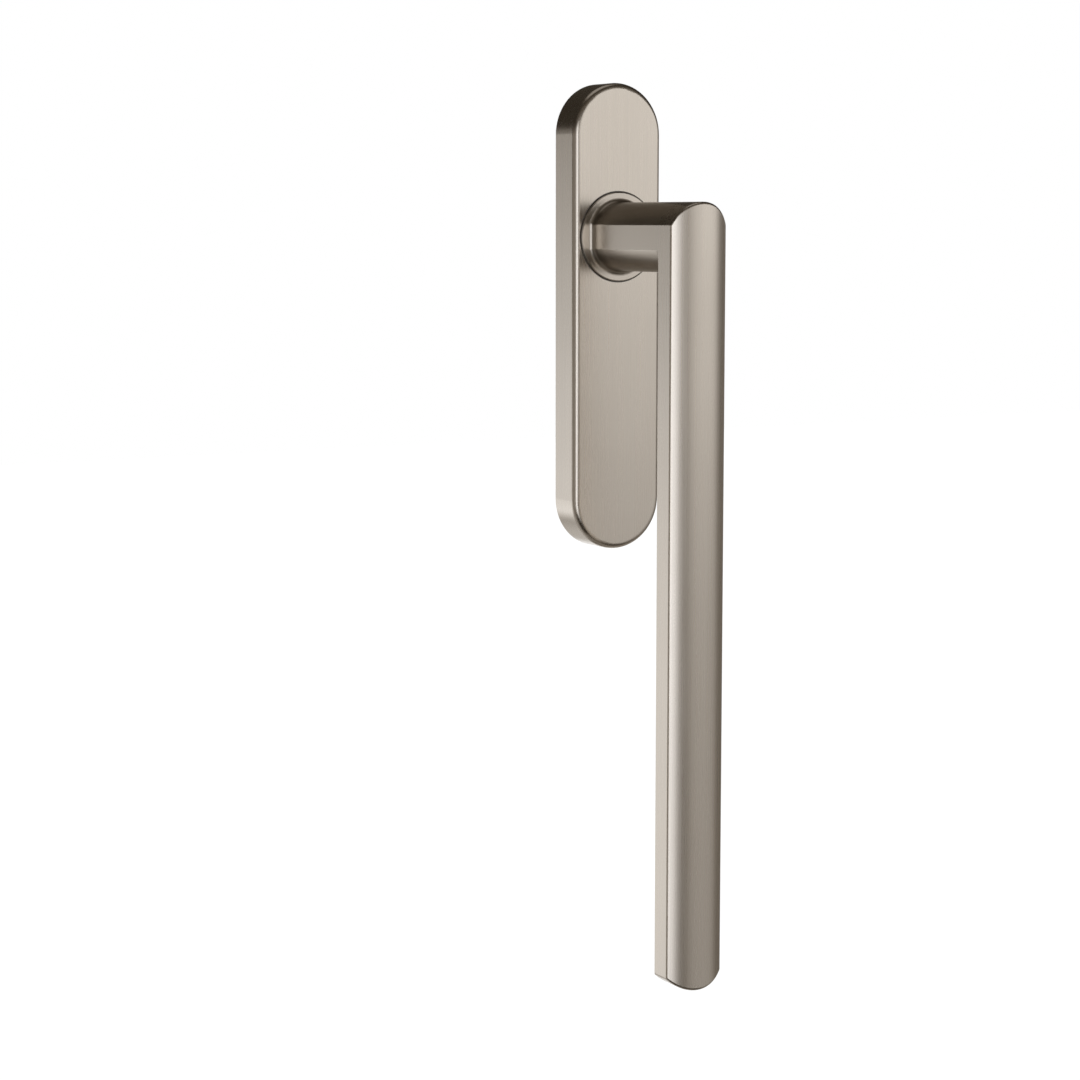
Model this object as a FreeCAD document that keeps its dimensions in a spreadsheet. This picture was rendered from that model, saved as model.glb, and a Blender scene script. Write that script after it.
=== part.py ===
# Lift and slide door handle: a long lever on a round-ended plate.
#
# Millimetres. The origin is on the spindle axis, in the plane of the door's surface.
# +Z is up, -Y points out of the door towards the hand, +X is to the right of the user.
# "Depth" below is the distance out from the door, so a depth of 10 lies at y = -10.

import FreeCAD, Part
import math
import os
import re
import Sketcher

SIZES = {
    # cover plate
    "plate_width": 37.0,
    "plate_height": 170.0,
    "plate_depth": 13.5,
    "cover_side_wall": 1.6,
    "cover_front_wall": 1.6,
    "cover_edge_radius": 2.2,
    "cover_bore_radius": 16.6,
    "plate_above_screw": 15.4,
    # lever
    "neck_radius": 12.4,
    "neck_half_width": 11.6,
    "neck_root_fillet": 1.8,
    "grip_root_fillet": 1.5,
    "flange_proud": 0.9,
    "flange_chamfer": 0.3,
    "grip_back_depth": 57.5,
    "grip_thickness": 11.2,
    "grip_front_radius": 21.0,
    "grip_crease_radius": 1.0,
    "grip_corner_radius": 0.9,
    "lever_reach": 268.0,
    "tip_radius": 16.0,
    # journal and what runs on it
    "journal_radius": 9.0,
    "journal_start": 0.5,
    "socket_depth": 41.0,
    "bush_wall": 1.35,
    "bush_proud": 1.0,
    "thrust_plate_thick": 1.0,
    "fork_thick": 1.2,
    "fork_half_width": 11.0,
    "fork_corner": 5.5,
    "fork_groove_depth": 0.7,
    # guide ring
    "guide_ring_wall": 0.35,
    "guide_ring_length": 2.4,
    "guide_ring_set_back": 0.2,
    # base plate
    "base_thick": 6.0,
    "boss_radius": 15.2,
    "boss_height": 9.2,
    "rear_recess_half": 13.0,
    "rear_recess_depth": 4.2,
    "screw_spacing": 80.0,
    "relief_half_width": 9.5,
    "relief_floor": 2.5,
    "relief_corner": 2.5,
    "relief_rib": 2.5,
    "relief_end_wall": 8.0,
    # seal
    "seal_edge": 0.8,
    "seal_width": 1.6,
    "seal_depth": 1.2,
    # stop
    "stop_radius": 13.2,
    "stop_pin_radius": 1.5,
    "stop_pin_seat": 4.4,
    "stop_groove_depth": 2.0,
    # spindle
    "spindle_size": 10.0,
    "spindle_reach": 16.0,
    "spindle_chamfer": 0.8,
    "cross_pin_radius": 1.5,
    "cross_pin_depth": 6.7,
    "leaf_width": 5.0,
    "leaf_length": 30.0,
    "leaf_thick": 0.3,
    "leaf_slot_depth": 0.8,
    # fixing screws
    "screw_thread_radius": 3.0,
    "screw_shank_radius": 3.1,
    "screw_head_radius": 6.0,
    "screw_head_rim": 0.4,
    "screw_reach": 16.0,
    "screw_key_half": 2.0,
    "screw_key_depth": 2.2,
    "keeper_half": 5.2,
    "keeper_thick": 1.0,
    # cover clips
    "clip_thick": 0.5,
    "clip_width": 8.0,
    "clip_leg_inset": 1.1,
    "clip_leg_height": 3.2,
    "clip_hook": 0.7,
    "catch_rib": 0.7,
    "catch_rib_thick": 0.8,
    "catch_rib_rise": 0.6,
    "lower_clip_below_screw": 25.0,
    "rivet_radius": 1.25,
    "rivet_head_radius": 2.5,
    "rivet_head_thick": 0.8,
    "rivet_length": 4.5,
    # pads between base plate and cover
    "pad_half_width": 4.0,
    "pad_height": 7.0,
    "pad_below_screw": 13.0,
    # clearances
    "turning_gap": 0.1,
    "journal_gap": 0.05,
    "seat_gap": 0.05,
    "cover_gap": 0.3,
    "stop_gap": 0.2,
}

# Depths and radii that follow from the driving sizes
FLANGE_FRONT = "(plate_depth + flange_proud)"
BUSH_TOP = "(boss_height + bush_proud)"
FLANGE_BACK = f"({BUSH_TOP} + turning_gap)"
FLANGE_RADIUS = "(cover_bore_radius - seat_gap - guide_ring_wall - turning_gap)"
BUSH_BORE = "(journal_radius + journal_gap)"
BUSH_OUTER = f"({BUSH_BORE} + bush_wall)"
PLATE_BACK = "(rear_recess_depth - thrust_plate_thick)"
FORK_FRONT = f"({PLATE_BACK} - turning_gap)"
FORK_BACK = f"({FORK_FRONT} - fork_thick)"
FORK_BORE = "(journal_radius - fork_groove_depth)"
GRIP_FRONT = "(grip_back_depth + grip_thickness)"
ARC_CENTRE = f"({GRIP_FRONT} - grip_front_radius)"
CORNER_DEPTH = f"({ARC_CENTRE} + sqrt(grip_front_radius ^ 2 - neck_half_width ^ 2))"
NECK_FLAT = "sqrt(neck_radius ^ 2 - neck_half_width ^ 2)"
TIP_CORNER = "(-lever_reach + tip_radius - sqrt(tip_radius ^ 2 - neck_half_width ^ 2))"
PLATE_END = "(plate_width / 2)"
PLATE_TOP = "(screw_spacing / 2 + plate_above_screw)"
UPPER_CENTRE = f"({PLATE_TOP} - {PLATE_END})"
LOWER_CENTRE = f"({PLATE_TOP} - plate_height + {PLATE_END})"
COVER_INSIDE = f"({PLATE_END} - cover_side_wall)"
BASE_HALF = f"({COVER_INSIDE} - cover_gap)"
SOCKET_HALF = "(spindle_size / 2 + seat_gap)"
SCREW_HOLE = "(screw_shank_radius + seat_gap * 4)"
SINK_RADIUS = "(screw_head_radius + seat_gap * 2)"
SCREW_TOP = "(base_thick - seat_gap)"
UPPER_SCREW = "(screw_spacing / 2)"
LOWER_SCREW = "(-screw_spacing / 2)"
UPPER_CLIP = f"((boss_radius + {UPPER_SCREW} - {SINK_RADIUS}) / 2)"
LOWER_CLIP = f"({LOWER_SCREW} - lower_clip_below_screw)"
UPPER_PAD = f"(-{UPPER_CLIP})"
LOWER_PAD = f"({LOWER_SCREW} - pad_below_screw)"
CLIP_LEG = f"({COVER_INSIDE} - clip_leg_inset)"

doc = FreeCAD.newDocument("lift_slide_handle")
sheet = doc.addObject("Spreadsheet::Sheet", "Sizes")
for row, (alias, size) in enumerate(SIZES.items(), start=1):
    sheet.set(f"A{row}", alias)
    sheet.set(f"B{row}", str(size))
    sheet.setAlias(f"B{row}", alias)
doc.recompute()


def bound(formula):
    """Write a formula of size names as an expression on the sheet."""
    return re.sub(r"\b([a-z]+(?:_[a-z]+)+)\b", r"Sizes.\1", formula)


def value(formula):
    """The present value of a formula of size names."""
    return float(sheet.evalExpression(bound(formula)))


def new_body(label):
    body = doc.addObject("PartDesign::Body", label)
    body.Label = label
    return body


def origin_plane(body, role):
    return next(f for f in body.Origin.OriginFeatures if f.Role == role)


def new_sketch(body, name, role, offset="0"):
    """A sketch on one of the body's own planes, moved along that plane's normal."""
    sketch = body.newObject("Sketcher::SketchObject", name)
    sketch.AttachmentSupport = (origin_plane(body, role), [""])
    sketch.MapMode = "FlatFace"
    sketch.setExpression("AttachmentOffset.Base.z", bound(offset))
    return sketch


def pin_coordinate(sketch, kind, geometry, point, formula):
    """Tie one coordinate of a sketch point to a formula, or to the axis where it is zero."""
    if formula == "0":
        axis = -2 if kind == "DistanceX" else -1
        sketch.addConstraint(Sketcher.Constraint("PointOnObject", geometry, point, axis))
        return
    index = sketch.addConstraint(Sketcher.Constraint(kind, -1, 1, geometry, point, value(formula)))
    sketch.setExpression(f"Constraints[{index}]", bound(formula))


def pin_point(sketch, geometry, point, x, y, keep="xy"):
    if "x" in keep:
        pin_coordinate(sketch, "DistanceX", geometry, point, x)
    if "y" in keep:
        pin_coordinate(sketch, "DistanceY", geometry, point, y)


def arc_between(start, end, centre, clockwise):
    first, last = (end, start) if clockwise else (start, end)
    angles = [math.atan2(p[1] - centre[1], p[0] - centre[0]) for p in (first, last)]
    if angles[1] <= angles[0]:
        angles[1] += 2 * math.pi
    circle = Part.Circle(FreeCAD.Vector(*centre, 0), FreeCAD.Vector(0, 0, 1), math.dist(start, centre))
    return Part.ArcOfCircle(circle, *angles)


def draw_outline(sketch, steps):
    """Draw one closed outline.

    A step is (x, y) for a straight run to that point, or (x, y, centre x, centre y, turn, keep) for an arc:
    turn is "cw" or "ccw", and keep names the coordinate that fixes the arc's end.
    """
    corner = [(value(s[0]), value(s[1])) for s in steps]
    ends = []
    for i, step in enumerate(steps):
        start, end = corner[i - 1], corner[i]
        if len(step) == 2:
            geometry = sketch.addGeometry(
                Part.LineSegment(FreeCAD.Vector(*start, 0), FreeCAD.Vector(*end, 0)), False)
            ends.append((geometry, 1, 2))
            continue
        centre = (value(step[2]), value(step[3]))
        clockwise = step[4] == "cw"
        geometry = sketch.addGeometry(arc_between(start, end, centre, clockwise), False)
        ends.append((geometry, 2, 1) if clockwise else (geometry, 1, 2))
    for i, (geometry, first, last) in enumerate(ends):
        following = ends[(i + 1) % len(ends)]
        sketch.addConstraint(
            Sketcher.Constraint("Coincident", geometry, last, following[0], following[1]))
    for step, (geometry, first, last) in zip(steps, ends):
        if len(step) > 2:
            pin_point(sketch, geometry, 3, step[2], step[3])
        pin_point(sketch, geometry, last, step[0], step[1], step[5] if len(step) > 2 else "xy")


def draw_circle(sketch, radius, x="0", y="0"):
    centre = FreeCAD.Vector(value(x), value(y), 0)
    geometry = sketch.addGeometry(Part.Circle(centre, FreeCAD.Vector(0, 0, 1), value(radius)), False)
    pin_point(sketch, geometry, 3, x, y)
    index = sketch.addConstraint(Sketcher.Constraint("Radius", geometry, value(radius)))
    sketch.setExpression(f"Constraints[{index}]", bound(radius))


def rectangle(half_x, low, high):
    """Corners of a rectangle that is centred across the outline."""
    return [(f"-({half_x})", low), (half_x, low), (half_x, high), (f"-({half_x})", high)]


def stadium(half_width):
    """The plate's round-ended outline at a given half width."""
    half = f"({half_width})"
    return [
        (f"-{half}", LOWER_CENTRE),
        (half, LOWER_CENTRE, "0", LOWER_CENTRE, "ccw", "y"),
        (half, UPPER_CENTRE),
        (f"-{half}", UPPER_CENTRE, "0", UPPER_CENTRE, "ccw", "y"),
    ]


def neck_outline():
    """Round bar with two flats, seen along the spindle."""
    return [
        ("-neck_half_width", NECK_FLAT, "0", "0", "ccw", "y"),
        ("-neck_half_width", f"-{NECK_FLAT}"),
        ("neck_half_width", f"-{NECK_FLAT}", "0", "0", "ccw", "y"),
        ("neck_half_width", NECK_FLAT),
    ]


def add_pad(body, sketch, length, reverse=False, middle=False):
    pad = body.newObject("PartDesign::Pad", sketch.Name + "_pad")
    pad.Profile = sketch
    pad.setExpression("Length", bound(length))
    pad.Reversed = reverse
    pad.Midplane = middle
    sketch.Visibility = False
    doc.recompute()
    return pad


def add_pocket(body, sketch, length, outwards=True, middle=False):
    """Cut a sketch into the body, away from the door unless outwards is False."""
    before = body.Shape.Volume
    pocket = body.newObject("PartDesign::Pocket", sketch.Name + "_pocket")
    pocket.Profile = sketch
    pocket.setExpression("Length", bound(length))
    pocket.Reversed = outwards
    pocket.Midplane = middle
    doc.recompute()
    if not body.Shape.Volume < before - 1e-3:
        raise RuntimeError(f"{pocket.Name} cuts nothing")
    return pocket


def add_turned(body, steps, name, cut=False, offset="0"):
    """Turn a profile of (radius, depth) points about the axis that leaves the door."""
    sketch = new_sketch(body, name, "XY_Plane", offset)
    draw_outline(sketch, [(radius, f"-({depth})") for radius, depth in steps])
    feature = body.newObject("PartDesign::Groove" if cut else "PartDesign::Revolution", name + "_turned")
    feature.Profile = sketch
    feature.ReferenceAxis = (sketch, ["V_Axis"])
    feature.Angle = 360
    doc.recompute()
    return feature


def round_edges(body, radius, wanted, name):
    """Fillet the edges of the body's last feature that a test picks out."""
    return dress_edges(body, "PartDesign::Fillet", "Radius", radius, wanted, name)


def bevel_edges(body, size, wanted, name):
    """Chamfer the edges of the body's last feature that a test picks out."""
    return dress_edges(body, "PartDesign::Chamfer", "Size", size, wanted, name)


def dress_edges(body, kind, size_property, size, wanted, name):
    tip = body.Tip
    names = [f"Edge{i}" for i, edge in enumerate(tip.Shape.Edges, start=1) if wanted(edge)]
    if not names:
        raise RuntimeError(f"{name} finds no edge")
    feature = body.newObject(kind, name)
    feature.Base = (tip, names)
    feature.setExpression(size_property, bound(size))
    doc.recompute()
    if "Invalid" in feature.State or not body.Shape.isValid():
        raise RuntimeError(f"{name} does not build")
    return feature


def edge_points(edge):
    first, last = edge.ParameterRange
    return [edge.valueAt(first + (last - first) * t) for t in (0.05, 0.35, 0.5, 0.65, 0.95)]


def lies_at(edge, **where):
    """True where all of the edge lies at the given x, y or z."""
    return all(abs(getattr(p, axis) - at) < 1e-3 for p in edge_points(edge) for axis, at in where.items())


def make_cover_plate():
    body = new_body("cover_plate")
    outline = new_sketch(body, "cover_outline", "XZ_Plane")
    draw_outline(outline, stadium(PLATE_END))
    add_pad(body, outline, "plate_depth")
    front = value("-plate_depth")
    round_edges(body, "cover_edge_radius", lambda e: lies_at(e, y=front), "cover_edge")
    inside = new_sketch(body, "cover_inside", "XZ_Plane")
    draw_outline(inside, stadium(COVER_INSIDE))
    add_pocket(body, inside, "plate_depth - cover_front_wall")
    bore = new_sketch(body, "cover_bore", "XZ_Plane")
    draw_circle(bore, "cover_bore_radius")
    add_pocket(body, bore, "plate_depth + flange_proud")
    for name, height in (("upper", UPPER_CLIP), ("lower", LOWER_CLIP)):
        for side, sign in (("left", "-"), ("right", "")):
            add_catch_rib(body, f"{name}_{side}_rib", height, sign)
    return body


def add_catch_rib(body, name, height, sign):
    """A rib inside the cover's side wall, which a clip snaps over."""
    rib = new_sketch(body, name, "XZ_Plane", "base_thick + catch_rib_rise")
    inner = f"{sign}({COVER_INSIDE} - catch_rib)"
    outer = f"{sign}({COVER_INSIDE} + cover_side_wall / 2)"
    low = f"{height} - clip_width / 2 - 1"
    high = f"{height} + clip_width / 2 + 1"
    corners = [(inner, low), (outer, low), (outer, high), (inner, high)]
    draw_outline(rib, corners)
    add_pad(body, rib, "catch_rib_thick")


def make_base_plate():
    body = new_body("base_plate")
    outline = new_sketch(body, "base_outline", "XZ_Plane")
    draw_outline(outline, stadium(BASE_HALF))
    add_pad(body, outline, "base_thick")
    boss = new_sketch(body, "bearing_boss", "XZ_Plane")
    draw_circle(boss, "boss_radius")
    add_pad(body, boss, "boss_height")
    add_relief(body)
    for name, height in (("upper", UPPER_SCREW), ("lower", LOWER_SCREW)):
        add_screw_seat(body, name, height)
    bore = new_sketch(body, "bush_bore", "XZ_Plane")
    draw_circle(bore, f"{BUSH_OUTER} + seat_gap")
    add_pocket(body, bore, "boss_height + 1")
    recess = new_sketch(body, "rear_recess", "XZ_Plane")
    draw_outline(recess, rectangle("rear_recess_half", "-rear_recess_half", "rear_recess_half"))
    add_pocket(body, recess, "rear_recess_depth")
    stop_hole = new_sketch(body, "stop_pin_hole", "XZ_Plane", "boss_height")
    draw_circle(stop_hole, "stop_pin_radius", "0", "stop_radius")
    add_pocket(body, stop_hole, "stop_pin_seat", outwards=False)
    for name, height in (("upper", UPPER_CLIP), ("lower", LOWER_CLIP)):
        rivet_hole = new_sketch(body, f"{name}_rivet_hole", "XZ_Plane")
        draw_circle(rivet_hole, "rivet_radius + seat_gap", "0", height)
        add_pocket(body, rivet_hole, "base_thick + 1")
    add_seal_groove(body)
    return body


def add_screw_seat(body, name, height):
    """Through hole, countersink and rear recess of one fixing screw."""
    top = "base_thick"
    add_turned(body, [
        ("0", "-1"),
        (SCREW_HOLE, "-1"),
        (SCREW_HOLE, f"{top} - screw_head_rim - ({SINK_RADIUS} - {SCREW_HOLE})"),
        (SINK_RADIUS, f"{top} - screw_head_rim"),
        (SINK_RADIUS, f"{top} + 1"),
        ("0", f"{top} + 1"),
    ], f"{name}_countersink", cut=True, offset=height)
    recess = new_sketch(body, f"{name}_keeper_recess", "XZ_Plane")
    half = "(keeper_half + seat_gap)"
    draw_outline(recess, rectangle(half, f"{height} - {half}", f"{height} + {half}"))
    add_pocket(body, recess, "keeper_thick + seat_gap * 2")


def add_relief(body):
    """Pocket in the front of the casting, from below the lower clip to near the end."""
    low = f"({LOWER_CENTRE} - {PLATE_END} + relief_end_wall)"
    high = f"({LOWER_CLIP} - clip_width / 2 - relief_rib)"
    relief = new_sketch(body, "relief", "XZ_Plane", "base_thick")
    draw_outline(relief, rounded_rectangle("relief_half_width", low, high, "relief_corner"))
    add_pocket(body, relief, "base_thick - relief_floor", outwards=False)


def rounded_rectangle(half, low, high, radius):
    """Corners of a rectangle across the plate, with rounded corners."""
    return [
        (f"-({half}) + {radius}", low, f"-({half}) + {radius}", f"{low} + {radius}", "ccw", "x"),
        (f"{half} - {radius}", low),
        (half, f"{low} + {radius}", f"{half} - {radius}", f"{low} + {radius}", "ccw", "y"),
        (half, f"{high} - {radius}"),
        (f"{half} - {radius}", high, f"{half} - {radius}", f"{high} - {radius}", "ccw", "x"),
        (f"-({half}) + {radius}", high),
        (f"-({half})", f"{high} - {radius}", f"-({half}) + {radius}", f"{high} - {radius}", "ccw", "y"),
        (f"-({half})", f"{low} + {radius}"),
    ]


def add_seal_groove(body):
    groove = new_sketch(body, "seal_groove", "XZ_Plane")
    draw_outline(groove, stadium(f"{BASE_HALF} - seal_edge"))
    draw_outline(groove, stadium(f"{BASE_HALF} - seal_edge - seal_width"))
    add_pocket(body, groove, "seal_depth")


def make_back_seal():
    body = new_body("back_seal")
    ring = new_sketch(body, "seal_outline", "XZ_Plane")
    draw_outline(ring, stadium(f"{BASE_HALF} - seal_edge - seat_gap"))
    draw_outline(ring, stadium(f"{BASE_HALF} - seal_edge - seal_width + seat_gap"))
    add_pad(body, ring, "seal_depth")
    return body


def make_lever():
    body = new_body("lever")
    add_turned(body, [
        ("0", "journal_start"),
        ("journal_radius", "journal_start"),
        ("journal_radius", f"{FORK_BACK} - seat_gap"),
        (FORK_BORE, f"{FORK_BACK} - seat_gap"),
        (FORK_BORE, FORK_FRONT),
        ("journal_radius", FORK_FRONT),
        ("journal_radius", FLANGE_BACK),
        (FLANGE_RADIUS, FLANGE_BACK),
        (FLANGE_RADIUS, f"{FLANGE_FRONT} - flange_chamfer"),
        (f"{FLANGE_RADIUS} - flange_chamfer", FLANGE_FRONT),
        ("0", FLANGE_FRONT),
    ], "journal_and_flange")
    neck = new_sketch(body, "neck_section", "XZ_Plane", FLANGE_FRONT)
    draw_outline(neck, neck_outline())
    add_pad(body, neck, f"grip_back_depth - {FLANGE_FRONT}")
    add_grip(body)
    round_lever(body)
    cut_stop_groove(body)
    cut_spindle_socket(body)
    return body


def add_grip(body):
    """The long grip: its front outline, cut to a D section by the arc of its front face."""
    outline = new_sketch(body, "grip_outline", "XZ_Plane", "grip_back_depth")
    draw_outline(outline, [
        ("-neck_half_width", NECK_FLAT, "0", "0", "ccw", "y"),
        ("-neck_half_width", TIP_CORNER),
        ("neck_half_width", TIP_CORNER, "0", "-lever_reach + tip_radius", "ccw", "y"),
        ("neck_half_width", NECK_FLAT),
    ])
    add_pad(body, outline, "grip_thickness")
    front = new_sketch(body, "front_arc", "XY_Plane")
    side = "neck_half_width + 2"
    ahead = f"-{GRIP_FRONT} - 2"
    draw_outline(front, [
        (f"-({side})", f"-{CORNER_DEPTH}"),
        ("-neck_half_width", f"-{CORNER_DEPTH}"),
        ("neck_half_width", f"-{CORNER_DEPTH}", "0", f"-{ARC_CENTRE}", "ccw", "y"),
        (side, f"-{CORNER_DEPTH}"),
        (side, ahead),
        (f"-({side})", ahead),
    ])
    add_pocket(body, front, "2 * lever_reach + 2", middle=True)


def round_lever(body):
    """Roundings of the lever, from the root of the grip to the rim of the flange."""
    half = value("neck_half_width")
    flat = value(NECK_FLAT)
    neck = value("neck_radius")
    back = value("-grip_back_depth")
    flange = value(f"-{FLANGE_FRONT}")
    tip_corner = value(TIP_CORNER)

    def on_neck(edge):
        return all(math.hypot(p.x, p.z) < neck + 1e-3 for p in edge_points(edge))

    def is_crease(edge):
        return any(lies_at(edge, x=x, z=z) for x in (half, -half) for z in (flat, tip_corner))

    def on_front(edge):
        return max(p.y for p in edge_points(edge)) < back - 1 and not is_crease(edge)

    round_edges(body, "grip_root_fillet",
                lambda e: lies_at(e, y=back) and on_neck(e) and edge_points(e)[2].z < -flat, "grip_root")
    round_edges(body, "grip_crease_radius", is_crease, "grip_creases")
    round_edges(body, "grip_corner_radius", on_front, "grip_corners")
    round_edges(body, "neck_root_fillet",
                lambda e: lies_at(e, y=flange) and on_neck(e), "neck_root")


def cut_stop_groove(body):
    """Half-round groove in the back of the flange, in which the stop pin runs."""
    wide = "(stop_pin_radius + stop_gap)"
    inner = f"(stop_radius - {wide})"
    outer = f"(stop_radius + {wide})"
    groove = new_sketch(body, "stop_groove", "XZ_Plane", FLANGE_BACK)
    draw_outline(groove, [
        ("0", outer),
        ("0", f"-{outer}", "0", "0", "cw", "x"),
        ("0", f"-{inner}"),
        ("0", inner, "0", "0", "ccw", "x"),
    ])
    add_pocket(body, groove, "stop_groove_depth")
    ends = new_sketch(body, "stop_groove_ends", "XZ_Plane", FLANGE_BACK)
    draw_circle(ends, wide, "0", "stop_radius")
    draw_circle(ends, wide, "0", "-stop_radius")
    add_pocket(body, ends, "stop_groove_depth")


def cut_spindle_socket(body):
    socket = new_sketch(body, "spindle_socket", "XZ_Plane")
    draw_outline(socket, rectangle(SOCKET_HALF, f"-{SOCKET_HALF}", SOCKET_HALF))
    add_pocket(body, socket, "socket_depth")
    slot = new_sketch(body, "leaf_slot", "XZ_Plane")
    draw_outline(slot, rectangle("leaf_width / 2 + seat_gap * 2", f"-{SOCKET_HALF} - leaf_slot_depth", "0"))
    add_pocket(body, slot, "journal_start + leaf_length + 2")
    hole = new_sketch(body, "cross_pin_hole", "YZ_Plane")
    draw_circle(hole, "cross_pin_radius + seat_gap", "-cross_pin_depth", "0")
    add_pocket(body, hole, "journal_radius * 3", middle=True)


def make_guide_ring():
    outer = "(cover_bore_radius - seat_gap)"
    front = "(plate_depth - guide_ring_set_back)"
    return make_ring("guide_ring", f"{outer} - guide_ring_wall", outer, f"{front} - guide_ring_length", front)


def make_bearing_bush():
    """Plain sleeve, standing proud of the boss to carry the flange of the lever."""
    return make_ring("bearing_bush", BUSH_BORE, BUSH_OUTER, "rear_recess_depth", BUSH_TOP)


def make_ring(label, inner, outer, back, front):
    """A plain flat ring about the spindle axis."""
    body = new_body(label)
    add_turned(body, [(inner, back), (outer, back), (outer, front), (inner, front)], label + "_profile")
    return body


def make_thrust_plate():
    """Square plate in the rear recess, against which the fork runs."""
    body = new_body("thrust_plate")
    outline = new_sketch(body, "thrust_plate_outline", "XZ_Plane", PLATE_BACK)
    half = "(rear_recess_half - seat_gap)"
    draw_outline(outline, rectangle(half, f"-{half}", half))
    draw_circle(outline, f"{BUSH_BORE} + seat_gap")
    add_pad(body, outline, "thrust_plate_thick")
    return body


def make_retaining_fork():
    """Flat fork pushed from the side into the groove of the journal."""
    body = new_body("retaining_fork")
    outline = new_sketch(body, "fork_outline", "XZ_Plane", FORK_BACK)
    inner = f"({FORK_BORE} + seat_gap)"
    wide, cut_back = "fork_half_width", "fork_corner"
    draw_outline(outline, [
        (f"-{inner}", f"-{cut_back}"),
        (f"-{wide}", f"-{cut_back}"),
        (f"-{wide}", cut_back),
        (f"-{wide} + {cut_back}", wide),
        (f"{wide} - {cut_back}", wide),
        (wide, cut_back),
        (wide, f"-{cut_back}"),
        (inner, f"-{cut_back}"),
        (inner, "0"),
        (f"-{inner}", "0", "0", "0", "ccw", "y"),
    ])
    add_pad(body, outline, "fork_thick")
    return body


def make_spindle():
    body = new_body("spindle")
    section = new_sketch(body, "spindle_section", "XZ_Plane", "-spindle_reach")
    draw_outline(section, rectangle("spindle_size / 2", "-spindle_size / 2", "spindle_size / 2"))
    add_pad(body, section, "spindle_reach + socket_depth - 1")
    inner_end = value("1 - socket_depth")
    outer_end = value("spindle_reach")
    bevel_edges(body, "spindle_chamfer",
                lambda e: lies_at(e, y=inner_end) or lies_at(e, y=outer_end), "spindle_ends")
    hole = new_sketch(body, "spindle_cross_hole", "YZ_Plane")
    draw_circle(hole, "cross_pin_radius + seat_gap", "-cross_pin_depth", "0")
    add_pocket(body, hole, "spindle_size * 2", middle=True)
    return body


def make_spindle_pin():
    pin = doc.addObject("Part::Cylinder", "spindle_pin")
    pin.Label = "spindle_pin"
    pin.setExpression("Radius", bound("cross_pin_radius"))
    pin.setExpression("Height", bound("2 * journal_radius - 6 * seat_gap"))
    pin.Placement = FreeCAD.Placement(
        FreeCAD.Vector(), FreeCAD.Rotation(FreeCAD.Vector(0, 1, 0), 90))
    pin.setExpression("Placement.Base.x", bound("-journal_radius + 3 * seat_gap"))
    pin.setExpression("Placement.Base.y", bound("-cross_pin_depth"))
    return pin


def make_stop_pin():
    pin = doc.addObject("Part::Cylinder", "stop_pin")
    pin.Label = "stop_pin"
    pin.setExpression("Radius", bound("stop_pin_radius - seat_gap / 2"))
    pin.setExpression("Height", bound(f"{FLANGE_BACK} + stop_groove_depth - 2 * turning_gap"
                                      " - boss_height + stop_pin_seat"))
    pin.Placement = FreeCAD.Placement(
        FreeCAD.Vector(), FreeCAD.Rotation(FreeCAD.Vector(1, 0, 0), 90))
    pin.setExpression("Placement.Base.y", bound("-boss_height + stop_pin_seat"))
    pin.setExpression("Placement.Base.z", bound("stop_radius"))
    return pin


def make_spindle_spring():
    """Bowed leaf in the slot of the socket, its crown against the spindle."""
    body = new_body("spindle_spring")
    leaf = new_sketch(body, "leaf_profile", "YZ_Plane")
    start, end = "(-journal_start - 1)", "(-journal_start - 1 - leaf_length)"
    crown = "(-journal_start - 1 - leaf_length / 2)"
    low = f"(-{SOCKET_HALF} - leaf_slot_depth + seat_gap)"
    high = "(-spindle_size / 2 - seat_gap)"
    draw_outline(leaf, [
        (start, low),
        (start, f"{low} + leaf_thick"),
        (crown, high),
        (end, f"{low} + leaf_thick"),
        (end, low),
        (crown, f"{high} - leaf_thick"),
    ])
    add_pad(body, leaf, "leaf_width", middle=True)
    return body


def make_screw(label, height):
    """Countersunk screw with a hexagon socket."""
    body = new_body(label)
    shank = "screw_shank_radius"
    thread = "screw_thread_radius"
    cone_end = f"{SCREW_TOP} - screw_head_rim - (screw_head_radius - {shank})"
    add_turned(body, [
        ("0", "-screw_reach"),
        (thread, "-screw_reach"),
        (thread, "0"),
        (shank, "0"),
        (shank, cone_end),
        ("screw_head_radius", f"{SCREW_TOP} - screw_head_rim"),
        ("screw_head_radius", SCREW_TOP),
        ("0", SCREW_TOP),
    ], label + "_profile")
    key = new_sketch(body, label + "_key", "XZ_Plane", SCREW_TOP)
    corner = "(screw_key_half * 2 / sqrt(3))"
    draw_outline(key, [
        (f"-{corner} / 2", "-screw_key_half"),
        (f"{corner} / 2", "-screw_key_half"),
        (corner, "0"),
        (f"{corner} / 2", "screw_key_half"),
        (f"-{corner} / 2", "screw_key_half"),
        (f"-{corner}", "0"),
    ])
    add_pocket(body, key, "screw_key_depth", outwards=False)
    body.setExpression("Placement.Base.z", bound(height))
    return body


def make_keeper(label, height):
    """Square washer behind the base plate, which holds a screw before fitting."""
    body = new_body(label)
    outline = new_sketch(body, label + "_outline", "XZ_Plane", "seat_gap")
    draw_outline(outline, rectangle("keeper_half", "-keeper_half", "keeper_half"))
    draw_circle(outline, "screw_shank_radius + seat_gap")
    add_pad(body, outline, "keeper_thick")
    body.setExpression("Placement.Base.z", bound(height))
    return body


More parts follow.
